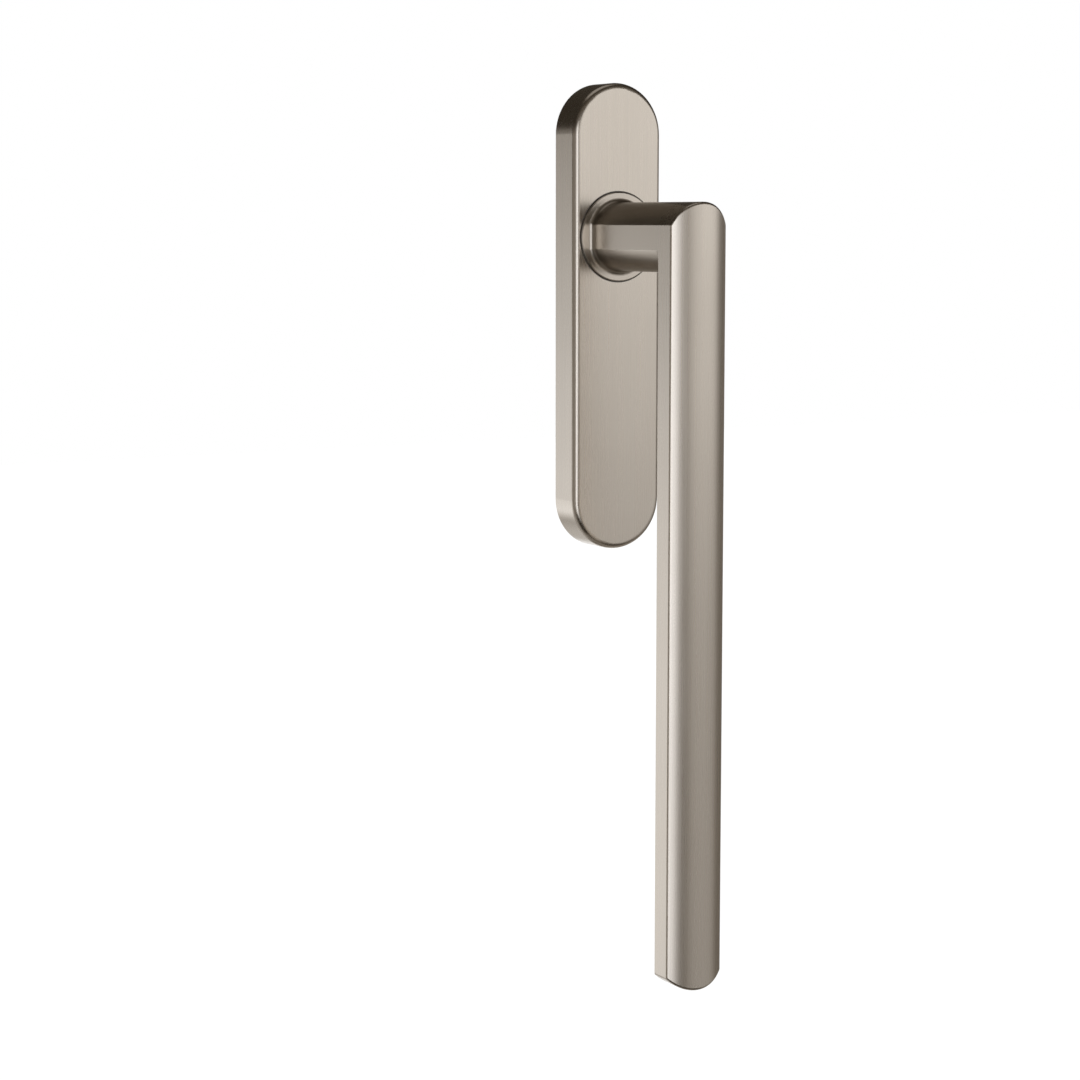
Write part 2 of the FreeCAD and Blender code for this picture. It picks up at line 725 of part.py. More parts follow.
def make_cover_pad(label, height):
    """Foam block that keeps the cover plate from rattling on the base plate."""
    pad = doc.addObject("Part::Box", label)
    pad.Label = label
    pad.setExpression("Length", bound("2 * pad_half_width"))
    pad.setExpression("Width", bound("plate_depth - cover_front_wall - base_thick"))
    pad.setExpression("Height", bound("pad_height"))
    pad.setExpression("Placement.Base.x", bound("-pad_half_width"))
    pad.setExpression("Placement.Base.y", bound("cover_front_wall - plate_depth"))
    pad.setExpression("Placement.Base.z", bound(f"{height} - pad_height / 2"))
    return pad


def make_clip(label, height):
    """Spring clip: a strip across the base plate with a hooked leg at each side wall."""
    body = new_body(label)
    strip = new_sketch(body, label + "_profile", "XY_Plane", f"{height} - clip_width / 2")
    foot = "base_thick"
    top = "(base_thick + clip_leg_height)"
    rib_front = "base_thick + catch_rib_rise + catch_rib_thick"
    hook = f"({rib_front} + seat_gap - clip_leg_inset + catch_rib)"
    leg_inner = f"({CLIP_LEG} - clip_thick)"
    right = [
        (CLIP_LEG, foot),
        (CLIP_LEG, hook),
        (f"{CLIP_LEG} + clip_hook", f"{hook} + clip_hook"),
        (CLIP_LEG, top),
        (leg_inner, top),
        (leg_inner, f"{foot} + clip_thick"),
    ]
    left = [(f"-{across}", depth) for across, depth in reversed(right)]
    left[-3] = (f"-({CLIP_LEG} + clip_hook)", f"{hook} + clip_hook")
    draw_outline(strip, [(across, f"-({depth})") for across, depth in right + left])
    add_pad(body, strip, "clip_width")
    hole = new_sketch(body, label + "_rivet_hole", "XZ_Plane")
    draw_circle(hole, "rivet_radius + seat_gap", "0", height)
    add_pocket(body, hole, "base_thick + 1")
    return body


def make_rivet(label, height):
    body = new_body(label)
    seat = "(base_thick + clip_thick)"
    add_turned(body, [
        ("0", f"base_thick - rivet_length"),
        ("rivet_radius", f"base_thick - rivet_length"),
        ("rivet_radius", seat),
        ("rivet_head_radius", seat),
        ("rivet_head_radius", f"{seat} + rivet_head_thick"),
        ("0", f"{seat} + rivet_head_thick"),
    ], label + "_profile")
    body.setExpression("Placement.Base.z", bound(height))
    return body


def group(label, pieces):
    """Like fasteners that share one node, each a solid of its own."""
    node = doc.addObject("Part::Compound", label)
    node.Label = label
    node.Links = pieces
    return node


def make_nodes():
    return [
        make_lever(),
        make_cover_plate(),
        make_guide_ring(),
        make_base_plate(),
        make_bearing_bush(),
        make_thrust_plate(),
        make_retaining_fork(),
        make_stop_pin(),
        make_spindle(),
        make_spindle_pin(),
        make_spindle_spring(),
        group("fixing_screws", [make_screw("upper_screw", UPPER_SCREW),
                                make_screw("lower_screw", LOWER_SCREW)]),
        make_keeper("screw_keeper_upper", UPPER_SCREW),
        make_keeper("screw_keeper_lower", LOWER_SCREW),
        make_clip("cover_clip_upper", UPPER_CLIP),
        make_clip("cover_clip_lower", LOWER_CLIP),
        group("clip_rivets", [make_rivet("upper_rivet", UPPER_CLIP),
                              make_rivet("lower_rivet", LOWER_CLIP)]),
        make_back_seal(),
        make_cover_pad("cover_pad_upper", UPPER_PAD),
        make_cover_pad("cover_pad_lower", LOWER_PAD),
    ]


def check_document():
    for item in doc.Objects:
        if "Invalid" in item.State or "Error" in item.State:
            raise RuntimeError(f"{item.Label} did not build: {item.State}")
        if item.TypeId == "Sketcher::SketchObject" and not item.FullyConstrained:
            raise RuntimeError(f"{item.Label} is not fully constrained")


def check_shape(node):
    shape = node.Shape
    if shape.isNull() or not shape.isValid() or not shape.Solids:
        raise RuntimeError(f"{node.Label} has no valid solid")


nodes = make_nodes()
doc.recompute()
check_document()
for node in nodes:
    check_shape(node)
os.makedirs("parts", exist_ok=True)
for node in nodes:
    node.Shape.exportStep(f"parts/{node.Label}.step")
    print(f"{node.Label}: {len(node.Shape.Solids)} solid(s), {node.Shape.Volume:.1f} mm3")
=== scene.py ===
import math

import bpy
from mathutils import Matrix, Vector


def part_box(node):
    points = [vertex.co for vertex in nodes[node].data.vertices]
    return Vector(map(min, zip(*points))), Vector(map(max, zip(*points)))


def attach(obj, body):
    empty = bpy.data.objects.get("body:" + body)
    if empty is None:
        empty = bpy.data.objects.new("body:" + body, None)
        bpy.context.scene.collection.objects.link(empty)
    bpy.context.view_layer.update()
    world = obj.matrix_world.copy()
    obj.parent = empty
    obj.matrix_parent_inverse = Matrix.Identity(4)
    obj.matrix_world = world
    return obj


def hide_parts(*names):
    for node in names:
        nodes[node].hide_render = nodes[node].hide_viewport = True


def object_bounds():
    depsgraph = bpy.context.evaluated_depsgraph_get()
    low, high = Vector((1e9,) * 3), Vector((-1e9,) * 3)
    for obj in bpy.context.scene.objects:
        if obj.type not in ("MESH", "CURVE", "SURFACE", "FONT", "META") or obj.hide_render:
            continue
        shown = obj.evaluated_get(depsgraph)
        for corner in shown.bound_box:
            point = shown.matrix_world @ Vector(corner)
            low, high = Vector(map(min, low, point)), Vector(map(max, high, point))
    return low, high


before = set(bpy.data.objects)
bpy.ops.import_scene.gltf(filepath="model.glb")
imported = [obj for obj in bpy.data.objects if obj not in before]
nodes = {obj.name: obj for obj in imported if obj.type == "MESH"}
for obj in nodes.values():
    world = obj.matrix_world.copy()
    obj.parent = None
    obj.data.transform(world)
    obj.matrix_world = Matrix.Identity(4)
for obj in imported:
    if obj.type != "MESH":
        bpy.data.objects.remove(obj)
cad_low, cad_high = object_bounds()

MM = 0.001
WHITE = (1.0, 1.0, 1.0)

# Finishes as linear colours
NICKEL = (0.665, 0.612, 0.550)
NICKEL_DARK = (0.590, 0.538, 0.478)
NICKEL_WORN = (0.700, 0.660, 0.610)
# Painted shade: darker nickel laid into the corner between flange and neck
NICKEL_PAINTED_SHADE = (0.290, 0.258, 0.218)
STEEL = (0.560, 0.555, 0.545)
ZINC_CAST = (0.420, 0.418, 0.412)
ZINC_PLATE = (0.560, 0.580, 0.600)
SPRING = (0.420, 0.410, 0.400)
RING_GREY = (0.130, 0.114, 0.098)
PALE_PLASTIC = (0.680, 0.670, 0.640)
SEAL_BLACK = (0.016, 0.016, 0.017)
FOAM_GREY = (0.045, 0.045, 0.048)

# Nearly all values of a noise lie between these two
NOISE_LOW = 0.30
NOISE_HIGH = 0.70
NOISE_ROUGHNESS = 0.55


# Node tree helpers

def opaque(colour):
    return (*colour, 1.0)


class Tree:
    """A short way to add and join the nodes of one material or of the world."""

    def __init__(self, owner):
        owner.use_nodes = True
        self.owner = owner
        self.tree = owner.node_tree
        self.tree.nodes.clear()

    def add(self, kind, inputs=None, **settings):
        node = self.tree.nodes.new(kind)
        for key, setting in settings.items():
            setattr(node, key, setting)
        for key, value in (inputs or {}).items():
            self.feed(node.inputs[key], value)
        return node

    def feed(self, socket, value):
        if isinstance(value, bpy.types.NodeSocket):
            self.tree.links.new(value, socket)
        else:
            socket.default_value = value

    def maths(self, operation, first, second=0.0):
        return self.add("ShaderNodeMath", {0: first, 1: second}, operation=operation).outputs[0]

    def weighted(self, first, second, share):
        """Sum of two values, where the first has this share."""
        return self.maths("ADD", self.maths("MULTIPLY", first, share),
                          self.maths("MULTIPLY", second, 1.0 - share))

    def vectors(self, operation, *inputs):
        return self.add("ShaderNodeVectorMath", dict(enumerate(inputs)), operation=operation)

    def length(self, vector):
        return self.vectors("LENGTH", vector).outputs["Value"]

    def joined(self, x=0.0, y=0.0, z=0.0):
        return self.add("ShaderNodeCombineXYZ", {"X": x, "Y": y, "Z": z}).outputs[0]

    def split(self, vector):
        parts = self.add("ShaderNodeSeparateXYZ", {0: vector}).outputs
        return parts["X"], parts["Y"], parts["Z"]

    def spread(self, value, low, high, to_low, to_high):
        """Carry a value from one range to another, held inside the new range."""
        inputs = {"Value": value, "From Min": low, "From Max": high, "To Min": to_low, "To Max": to_high}
        return self.add("ShaderNodeMapRange", inputs, clamp=True).outputs[0]

    def spread_noise(self, noise, to_low=0.0, to_high=1.0):
        return self.spread(noise, NOISE_LOW, NOISE_HIGH, to_low, to_high)

    def blend(self, share, first, second):
        """Mix two colours."""
        node = self.add("ShaderNodeMix", data_type="RGBA")
        self.feed(node.inputs[0], share)
        self.feed(node.inputs[6], first)
        self.feed(node.inputs[7], second)
        return node.outputs[2]

    def blend_vectors(self, share, first, second):
        node = self.add("ShaderNodeMix", data_type="VECTOR")
        self.feed(node.inputs[0], share)
        self.feed(node.inputs[4], first)
        self.feed(node.inputs[5], second)
        return node.outputs[1]

    def ramp(self, share, stops):
        """Colour that runs through the stops as the share goes from 0 to 1."""
        node = self.add("ShaderNodeValToRGB", {0: share})
        steps = node.color_ramp.elements
        while len(steps) < len(stops):
            steps.new(1.0)
        for step, (position, colour) in zip(steps, stops):
            step.position = position
            step.color = opaque(colour)
        return node.outputs[0]

    def place(self):
        return self.add("ShaderNodeTexCoord").outputs["Object"]

    def stretched(self, vector, scale):
        return self.add("ShaderNodeMapping", {"Vector": vector, "Scale": scale}).outputs[0]

    def noise(self, vector, scale, detail):
        inputs = {"Vector": vector, "Scale": scale, "Detail": detail, "Roughness": NOISE_ROUGHNESS}
        return self.add("ShaderNodeTexNoise", inputs).outputs["Fac"]

    def worn_edges(self, reach):
        """How near a point is to a bent edge, from 0 to 1."""
        rounded = self.add("ShaderNodeBevel", {"Radius": reach}, samples=4).outputs[0]
        true = self.add("ShaderNodeNewGeometry").outputs["Normal"]
        alike = self.vectors("DOT_PRODUCT", rounded, true).outputs["Value"]
        return self.spread(alike, 1.0, 0.86, 0.0, 1.0)

    def bumps(self, strength, depth, height):
        inputs = {"Strength": strength, "Distance": depth, "Height": height}
        return self.add("ShaderNodeBump", inputs).outputs[0]

    def finish(self, surface):
        """Send a shader to the output and hand back its material."""
        self.add("ShaderNodeOutputMaterial", {"Surface": surface.outputs[0]})
        return self.owner


def new_finish(name):
    return Tree(bpy.data.materials.new(name))


# Brushed satin nickel

# Depths in front of the door face where the lever's brushing and its painted corner shade change
FLANGE_FRONT = 14.4 * MM
FLANGE_EDGE = 0.5 * MM
CORNER_SHADE_FULL = FLANGE_FRONT + 3.0 * MM
CORNER_SHADE_GONE = FLANGE_FRONT + 8.0 * MM
NECK_END = 57.5 * MM
NECK_MITRE = 0.4 * MM

# Waves of the noises in a metre, and how far the strokes are drawn out
FINE_STROKES = 3600.0
BROAD_STROKES = 620.0
CLOUDS = 30.0
STROKE_DRAW = 0.006
NECK_DRAW = 0.015

# How much each of them shows
FINE_SHARE = 0.55
STROKE_SHARE = 0.40
NECK_VIGOUR = 0.25
# Darkest share of the painted shade in the corner between flange and neck
CORNER_SHADE_SHARE = 0.7
STROKE_BUMP = 0.035
STROKE_DEPTH = 0.02 * MM
NICKEL_SMOOTH = 0.25
NICKEL_ROUGH = 0.31

# Edges that hands have rubbed
RUBBED_REACH = 0.6 * MM
RUBBED_SHARE = 0.15
RUBBED_POLISH = 0.015


def upright_strokes(tree):
    """Coordinates drawn out along upright strokes, and the direction of the strokes."""
    lay = tree.stretched(tree.place(), (1.0, 1.0, STROKE_DRAW))
    return lay, tree.joined(z=1.0)


def plate_brushing(tree):
    lay, way = upright_strokes(tree)
    return {"lay": lay, "way": way, "vigour": 1.0, "corner": 0.0}


def lever_brushing_and_shade(tree):
    """Upright strokes on the grip, faint ones round the neck, rings on the flange, and a painted shade
    in the corner between flange and neck."""
    place = tree.place()
    upright, upward = upright_strokes(tree)
    across, along, height = tree.split(place)
    depth = tree.maths("MULTIPLY", along, -1.0)
    from_axis = tree.joined(x=across, z=height)
    on_flange = tree.spread(depth, FLANGE_FRONT, FLANGE_FRONT + FLANGE_EDGE, 1.0, 0.0)
    on_grip = tree.spread(depth, NECK_END - NECK_MITRE, NECK_END, 0.0, 1.0)
    lay = tree.blend_vectors(on_grip, tree.stretched(place, (NECK_DRAW, 1.0, NECK_DRAW)), upright)
    lay = tree.blend_vectors(on_flange, lay, tree.joined(x=tree.length(from_axis)))
    outward = tree.vectors("NORMALIZE", from_axis).outputs["Vector"]
    turning = tree.vectors("CROSS_PRODUCT", outward, (0.0, 1.0, 0.0)).outputs["Vector"]
    # Painted shade mask: 1 just in front of the flange, fading out along the neck
    corner = tree.spread(depth, CORNER_SHADE_FULL, CORNER_SHADE_GONE, 1.0, 0.0)
    return {
        "lay": lay,
        "way": tree.blend_vectors(on_grip, turning, upward),
        "vigour": tree.spread(on_grip, 0.0, 1.0, NECK_VIGOUR, 1.0),
        # The corner entry is the painted shade mask, kept off the flange itself
        "corner": tree.maths("MULTIPLY", corner, tree.maths("SUBTRACT", 1.0, on_flange)),
    }


def stroke_height(tree, brushing_and_shade):
    """Height of the strokes, one half on average."""
    fine = tree.noise(brushing_and_shade["lay"], FINE_STROKES, detail=3.0)
    broad = tree.noise(brushing_and_shade["lay"], BROAD_STROKES, detail=2.0)
    height = tree.weighted(fine, broad, FINE_SHARE)
    swing = tree.maths("MULTIPLY", tree.maths("SUBTRACT", height, 0.5), brushing_and_shade["vigour"])
    return tree.maths("ADD", swing, 0.5)


def nickel_colour(tree, brushing_and_shade, strokes, rubbed):
    clouds = tree.noise(tree.place(), CLOUDS, detail=2.0)
    tone = tree.weighted(tree.spread_noise(strokes), clouds, STROKE_SHARE)
    colour = tree.blend(tone, opaque(NICKEL_DARK), opaque(NICKEL))
    colour = tree.blend(tree.maths("MULTIPLY", rubbed, RUBBED_SHARE), colour, opaque(NICKEL_WORN))
    # Painted shade: the corner between flange and neck is blended towards a dark nickel
    corner = tree.maths("MULTIPLY", brushing_and_shade["corner"], CORNER_SHADE_SHARE)
    return tree.blend(corner, colour, opaque(NICKEL_PAINTED_SHADE))


def brushed_nickel(name, lay_strokes_and_shade):
    """Satin nickel whose highlights stretch across the given strokes, darkened by any painted shade
    given with them.
    """
    tree = new_finish(name)
    brushing_and_shade = lay_strokes_and_shade(tree)
    strokes = stroke_height(tree, brushing_and_shade)
    rubbed = tree.worn_edges(RUBBED_REACH)
    roughness = tree.spread_noise(strokes, NICKEL_SMOOTH, NICKEL_ROUGH)
    polish = tree.maths("MULTIPLY", rubbed, RUBBED_POLISH)
    tangent = tree.add("ShaderNodeVectorTransform", {"Vector": brushing_and_shade["way"]}, vector_type="VECTOR",
                       convert_from="OBJECT", convert_to="WORLD")
    shader = tree.add("ShaderNodeBsdfPrincipled", {
        "Base Color": nickel_colour(tree, brushing_and_shade, strokes, rubbed),
        "Metallic": 1.0,
        "Roughness": tree.maths("SUBTRACT", roughness, polish),
        "Normal": tree.bumps(STROKE_BUMP, STROKE_DEPTH, strokes),
        "Anisotropic": 0.5,
        "Anisotropic Rotation": 0.25,
        "Tangent": tangent.outputs[0],
    })
    return tree.finish(shader)


# Hidden metals, plastics and soft parts

METAL = {
    "metallic": 1.0,
    "cloud_scale": 420.0,
    "cloud_detail": 3.0,
    "darker": 0.88,
    "rubbed_lighter": 1.25,
    "rubbed_lift": 0.0,
    "rubbed_reach": 0.5 * MM,
    "rubbed_share": 0.6,
    "rough_swing": 0.2,
    "grain_depth": 0.05 * MM,
}
MOULDED = {
    "metallic": 0.0,
    "cloud_scale": 60.0,
    "cloud_detail": 2.0,
    "darker": 0.82,
    "rubbed_lighter": 1.15,
    "rubbed_lift": 0.01,
    "rubbed_reach": 0.4 * MM,
    "rubbed_share": 0.5,
    "rough_swing": 0.1,
    "grain_depth": 0.1 * MM,
}


def clouded_colour(tree, stuff, colour):
    """The colour with faint clouds and lighter edges where it is rubbed."""
    dark = opaque([part * stuff["darker"] for part in colour])
    light = opaque([min(1.0, part * stuff["rubbed_lighter"] + stuff["rubbed_lift"]) for part in colour])
    clouds = tree.noise(tree.place(), stuff["cloud_scale"], stuff["cloud_detail"])
    rubbed = tree.maths("MULTIPLY", tree.worn_edges(stuff["rubbed_reach"]), stuff["rubbed_share"])
    clouded = tree.blend(tree.spread_noise(clouds), dark, opaque(colour))
    return tree.blend(rubbed, clouded, light)


def grained(name, stuff, colour, rough, grain, bump, stretch=(1.0, 1.0, 1.0)):
    """Metal, plastic, rubber or foam with a fine grain, drawn out where it was drawn or ground."""
    tree = new_finish(name)
    grit = tree.noise(tree.stretched(tree.place(), stretch), grain, detail=4.0)
    smoothest = rough * (1.0 - stuff["rough_swing"])
    roughest = min(1.0, rough * (1.0 + stuff["rough_swing"]))
    shader = tree.add("ShaderNodeBsdfPrincipled", {
        "Base Color": clouded_colour(tree, stuff, colour),
        "Metallic": stuff["metallic"],
        "Roughness": tree.spread_noise(grit, smoothest, roughest),
        "Normal": tree.bumps(bump, stuff["grain_depth"], grit),
    })
    return tree.finish(shader)


FINISHES = {
    "satin_nickel_lever": brushed_nickel("lever_nickel", lever_brushing_and_shade),
    "satin_nickel_plate": brushed_nickel("plate_nickel", plate_brushing),
    "dark_plastic": grained("ring_plastic", MOULDED, RING_GREY, rough=0.45, grain=2500.0, bump=0.12),
    "cast_zinc": grained("cast_base", METAL, ZINC_CAST, rough=0.48, grain=1800.0, bump=0.45),
    "white_plastic": grained("pale_moulded", MOULDED, PALE_PLASTIC, rough=0.42, grain=1500.0, bump=0.12),
    "bright_steel": grained("ground_steel", METAL, STEEL, rough=0.26, grain=4000.0, bump=0.15,
                            stretch=(1.0, 0.1, 1.0)),
    "spring_steel": grained("spring_steel", METAL, SPRING, rough=0.30, grain=5000.0, bump=0.15,
                            stretch=(1.0, 1.0, 0.1)),
    "zinc_plated_steel": grained("zinc_plated", METAL, ZINC_PLATE, rough=0.30, grain=2500.0, bump=0.15),
    "seal_rubber": grained("seal_rubber", MOULDED, SEAL_BLACK, rough=0.75, grain=3000.0, bump=0.12),
    "pad_foam": grained("pad_foam", MOULDED, FOAM_GREY, rough=0.95, grain=1600.0, bump=0.8),
}


def dress_nodes():
    """Give every CAD piece the finish of its slot."""
    for node in nodes.values():
        for index, material in enumerate(node.data.materials):
            name = material.name.split(".")[0]
            node.data.materials[index] = FINISHES[name]


# Fixing screws with cut threads, modelled head up and then laid into the plate

SCREW_SPACING = 80.0 * MM
SCREW_REACH = 16.0 * MM
SCREW_TOP = -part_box("fixing_screws")[0][1]
HEAD_RADIUS = 6.0 * MM
HEAD_RIM = 0.4 * MM
KEY_HALF = 2.0 * MM
KEY_DEPTH = 2.2 * MM
SHANK_RADIUS = 3.1 * MM
SHANK_LAP = 0.5 * MM
SHANK_RUNOUT = 0.3 * MM
THREAD_RADIUS = 3.0 * MM
THREAD_ROOT = 2.42 * MM
THREAD_PITCH = 1.0 * MM
THREAD_END = -1.0 * MM
SPARE_THREAD = 2.0 * THREAD_PITCH
FLANK_SHARE = 0.375
FLAT_SHARE = 0.125
TIP_TAPER = 0.91
TIP_STEPS = (0.7 * MM, 0.35 * MM)
TURNING_STEPS = 32
CREASE_ANGLE = math.radians(25.0)
FINEST = 0.0005 * MM


def apply_modifier(piece, kind, **settings):
    modifier = piece.modifiers.new(kind.lower(), kind)
    for key, setting in settings.items():
        setattr(modifier, key, setting)
    bpy.context.view_layer.objects.active = piece
    bpy.ops.object.modifier_apply(modifier=modifier.name)


def face_outwards():
    bpy.ops.object.mode_set(mode="EDIT")
    bpy.ops.mesh.select_all(action="SELECT")
    bpy.ops.mesh.normals_make_consistent(inside=False)
    bpy.ops.object.mode_set(mode="OBJECT")


def turned(name, outline, climb=0.0):
    """Turn an outline of radius and height round the upright axis, climbing with each turn."""
    bpy.ops.object.select_all(action="DESELECT")
    bpy.ops.mesh.primitive_plane_add(size=MM)
    piece = bpy.context.object
    piece.name = name
    bpy.ops.object.mode_set(mode="EDIT")
    bpy.ops.mesh.merge(type="CENTER")
    bpy.ops.transform.translate(value=(outline[0][0], 0.0, outline[0][1]))
    for start, end in zip(outline, outline[1:]):
        step = (end[0] - start[0], 0.0, end[1] - start[1])
        bpy.ops.mesh.extrude_region_move(TRANSFORM_OT_translate={"value": step})
    bpy.ops.object.mode_set(mode="OBJECT")
    apply_modifier(piece, "SCREW", screw_offset=climb, steps=TURNING_STEPS, render_steps=TURNING_STEPS)
    bpy.ops.object.mode_set(mode="EDIT")
    bpy.ops.mesh.select_all(action="SELECT")
    bpy.ops.mesh.remove_doubles(threshold=FINEST)
    bpy.ops.object.mode_set(mode="OBJECT")
    return piece


def thread_outline():
    """Ridges of the thread, from below the tip to above the end of the shank."""
    outline = [(THREAD_ROOT, -SCREW_REACH - SPARE_THREAD)]
    moves = [(1, FLANK_SHARE), (0, FLAT_SHARE), (-1, FLANK_SHARE), (0, FLAT_SHARE)]
    ridge = THREAD_RADIUS - THREAD_ROOT
    while outline[-1][1] < THREAD_END + SPARE_THREAD:
        for out, along in moves:
            radius, height = outline[-1]
            outline.append((radius + out * ridge, height + along * THREAD_PITCH))
    return outline


def taper_tip(thread, reach):
    """Draw in the last part of the thread a little."""
    bpy.ops.mesh.select_all(action="DESELECT")
    bpy.ops.object.mode_set(mode="OBJECT")
    for corner in thread.data.vertices:
        corner.select = corner.co.z < -SCREW_REACH + reach
    bpy.ops.object.mode_set(mode="EDIT")
    bpy.ops.transform.resize(value=(TIP_TAPER, TIP_TAPER, 1.0), center_override=(0.0, 0.0, 0.0))


def cut_thread():
    """Threaded length of one screw, cut off square at both ends and tapered at its tip."""
    thread = turned("screw_thread", thread_outline(), THREAD_PITCH)
    bpy.ops.object.mode_set(mode="EDIT")
    for height, side in ((-SCREW_REACH, -1.0), (THREAD_END, 1.0)):
        bpy.ops.mesh.select_all(action="SELECT")
        bpy.ops.mesh.bisect(plane_co=(0.0, 0.0, height), plane_no=(0.0, 0.0, side),
                            use_fill=True, clear_outer=True, threshold=FINEST)
    for reach in TIP_STEPS:
        taper_tip(thread, reach)
    bpy.ops.object.mode_set(mode="OBJECT")
    face_outwards()
    return thread


def turn_head():
    """Countersunk head with its hexagon socket, and the plain shank below it."""
    cone_end = SCREW_TOP - HEAD_RIM - (HEAD_RADIUS - SHANK_RADIUS)
    head = turned("screw_head", [
        (0.0, THREAD_END - SHANK_LAP),
        (THREAD_ROOT, THREAD_END - SHANK_LAP),
        (SHANK_RADIUS, THREAD_END + SHANK_RUNOUT),
        (SHANK_RADIUS, cone_end),
        (HEAD_RADIUS, SCREW_TOP - HEAD_RIM),
        (HEAD_RADIUS, SCREW_TOP),
        (0.0, SCREW_TOP),
    ])
    face_outwards()
    bpy.ops.mesh.primitive_cylinder_add(vertices=6, radius=KEY_HALF * 2.0 / math.sqrt(3.0),
                                        depth=2.0 * KEY_DEPTH, location=(0.0, 0.0, SCREW_TOP))
    key = bpy.context.object
    apply_modifier(head, "BOOLEAN", operation="DIFFERENCE", solver="EXACT", object=key)
    bpy.data.objects.remove(key)
    return head


def lay_in_plate(screw):
    """Lay the screw into the upper seat and a copy of it into the lower one, as one piece."""
    screw.rotation_euler = (math.pi / 2.0, 0.0, 0.0)
    screw.location = (0.0, 0.0, SCREW_SPACING / 2.0)
    other = screw.copy()
    other.data = screw.data.copy()
    other.location = (0.0, 0.0, -SCREW_SPACING / 2.0)
    bpy.context.scene.collection.objects.link(other)
    bpy.ops.object.select_all(action="DESELECT")
    screw.select_set(True)
    other.select_set(True)
    bpy.context.view_layer.objects.active = screw
    bpy.ops.object.join()
    bpy.ops.object.transform_apply(location=True, rotation=True, scale=True)


def make_fixing_screws():
    screw = turn_head()
    thread = cut_thread()
    apply_modifier(screw, "BOOLEAN", operation="UNION", solver="EXACT", object=thread)
    bpy.data.objects.remove(thread)
    lay_in_plate(screw)
    bpy.ops.object.shade_smooth_by_angle(angle=CREASE_ANGLE)
    screw.name = "threaded_screws"
    screw.data.materials.clear()
    screw.data.materials.append(FINISHES["zinc_plated_steel"])
    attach(screw, "base")
    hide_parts("fixing_screws")


# Camera

CAMERA_PLACE = Vector((-0.5041, -0.8029, 0.0065))
CAMERA_YAW = math.radians(30.815)
CAMERA_PITCH = math.radians(6.691)
CAMERA_LENS = 85.13
CAMERA_SENSOR = 36.0
CAMERA_SHIFT_Y = -0.02
CAMERA_NEAR = 0.05
CAMERA_FAR = 30.0


def make_camera():
    data = bpy.data.cameras.new("camera")
    data.lens = CAMERA_LENS
    data.sensor_width = CAMERA_SENSOR
    data.shift_y = CAMERA_SHIFT_Y
    data.clip_start = CAMERA_NEAR
    data.clip_end = CAMERA_FAR
    camera = bpy.data.objects.new("camera", data)
    bpy.context.scene.collection.objects.link(camera)
    camera.location = CAMERA_PLACE
    camera.rotation_euler = (math.pi / 2 - CAMERA_PITCH, 0.0, -CAMERA_YAW)
    bpy.context.scene.camera = camera


# World and floor

WORLD_LIGHT = 0.86
FLOOR_LEVEL = cad_low.z - 0.105
FLOOR_SIZE = 6.0
FLOOR_PAINT = (0.90, 0.90, 0.90)
FLOOR_LIFT = 0.28


def seen_directly(tree):
    """1 where the camera, a reflection or glass looks straight at this, 0 where it only lights."""
    path = tree.add("ShaderNodeLightPath")
    direct = tree.maths("MAXIMUM", path.outputs["Is Camera Ray"], path.outputs["Is Glossy Ray"])
    return tree.maths("MAXIMUM", direct, path.outputs["Is Transmission Ray"])


def make_world():
    """A white background that lights the handle a little less than it shows."""
    world = bpy.data.worlds.new("studio")
    bpy.context.scene.world = world
    tree = Tree(world)
    strength = tree.spread(seen_directly(tree), 0.0, 1.0, WORLD_LIGHT, 1.0)
    back = tree.add("ShaderNodeBackground", {"Color": opaque(WHITE), "Strength": strength})
    tree.add("ShaderNodeOutputWorld", {"Surface": back.outputs[0]})


def make_floor():
    """Matt pale floor that takes the handle's shadow and stays out of its reflections."""
    bpy.ops.object.select_all(action="DESELECT")
    bpy.ops.mesh.primitive_plane_add(size=FLOOR_SIZE, location=(0.0, 0.0, FLOOR_LEVEL))
    floor = bpy.context.object
    floor.name = "floor"
    floor.visible_glossy = False
    tree = new_finish("pale_floor")
    matt = tree.add("ShaderNodeBsdfDiffuse", {"Color": opaque(FLOOR_PAINT)})
    lift_strength = tree.maths("MULTIPLY", seen_directly(tree), FLOOR_LIFT)
    lift = tree.add("ShaderNodeEmission", {"Strength": lift_strength})
    both = tree.add("ShaderNodeAddShader", {0: matt.outputs[0], 1: lift.outputs[0]})
    floor.data.materials.append(tree.finish(both))


# Softboxes

LIT_MIDDLE = Vector((0.0, -0.05, -0.10))
SOFTBOX_DISTANCE = 2.2
SOFTBOXES = [
    {"name": "left_softbox", "turn": 41, "height": 0.1, "size": (0.9, 1.0), "tone": 0.35},
    {"name": "right_softbox", "turn": -45, "height": 0.35, "size": (1.6, 0.7), "tone": 0.30},
]


def make_softbox(box):
    """Rectangular lamp turned to the handle, with its tone as it shows in a reflection. Turn 0 is
    straight in front of the handle and turn 90 to its left."""
    width, tall = box["size"]
    turn = math.radians(box["turn"])
    left = SOFTBOX_DISTANCE * math.sin(turn)
    forward = SOFTBOX_DISTANCE * math.cos(turn)
    data = bpy.data.lights.new(box["name"], "AREA")
    data.shape = "RECTANGLE"
    data.size = width
    data.size_y = tall
    data.energy = box["tone"] * math.pi * width * tall
    lamp = bpy.data.objects.new(box["name"], data)
    bpy.context.scene.collection.objects.link(lamp)
    lamp.location = (-left, -forward, box["height"])
    lamp.rotation_euler = (LIT_MIDDLE - lamp.location).to_track_quat("-Z", "Y").to_euler()


# Studio walls

WALL_RADIUS = 25.0
DIM_TONE = 0.040
BRIGHTEST_TONE = 1.85
WALL_COLOURS = [
    (0.00, (1.00, 0.82, 0.60)),
    (0.24, (1.00, 0.96, 0.91)),
    (0.54, (1.00, 0.99, 0.97)),
    (1.00, (0.92, 0.95, 1.00)),
]

